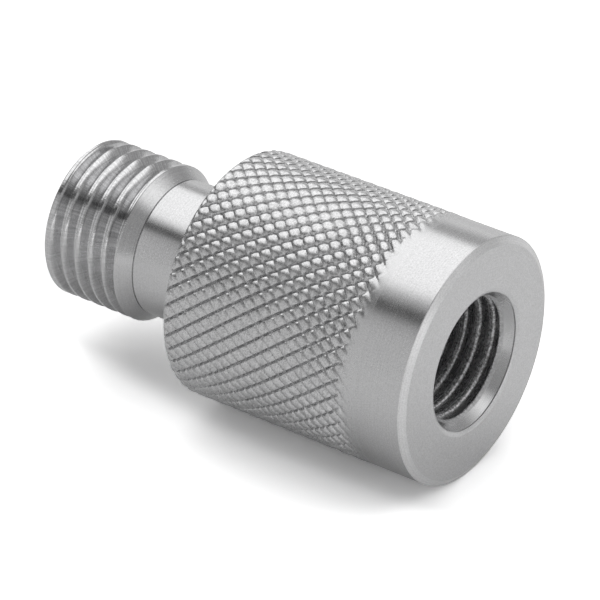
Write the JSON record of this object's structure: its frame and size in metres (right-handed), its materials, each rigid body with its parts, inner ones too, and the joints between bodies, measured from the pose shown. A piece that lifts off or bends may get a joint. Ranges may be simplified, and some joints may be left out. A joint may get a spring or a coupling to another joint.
{
  "type": "test point coupling",
  "caption": "Knurled steel hydraulic test point coupling with a female threaded port, a threaded stud and a spring-loaded self-sealing valve.",
  "frame": {"origin": "middle of the stud's end face, on which the coupling stands", "axes": "+Z along the coupling's axis, from the stud's end to the port's face"},
  "size_m": [0.0202, 0.0202, 0.0367],
  "materials": {
    "turned_steel": "fine turned and rolled stainless steel",
    "valve_steel": "fine turned steel",
    "spring_steel": "drawn spring steel",
    "seal_rubber": "moulded seal rubber",
    "backup_plastic": "white fluoroplastic"
  },
  "bodies": {
    "coupling": {"coupling_body": "turned_steel", "spring_seat": "valve_steel", "retaining_ring": "spring_steel", "valve_spring": "spring_steel", "probe_seal": "seal_rubber", "backup_ring": "backup_plastic"},
    "valve": {"poppet": "valve_steel", "poppet_seal": "seal_rubber"}
  },
  "joints": [
    {"name": "valve_lift", "type": "slide", "parent": "coupling", "child": "valve", "axis": [0, 0, -1], "range_m": [0, 0.0015], "stiffness_N_per_m": 3500, "springref_m": -0.002, "deforming": ["valve_spring"]}
  ]
}
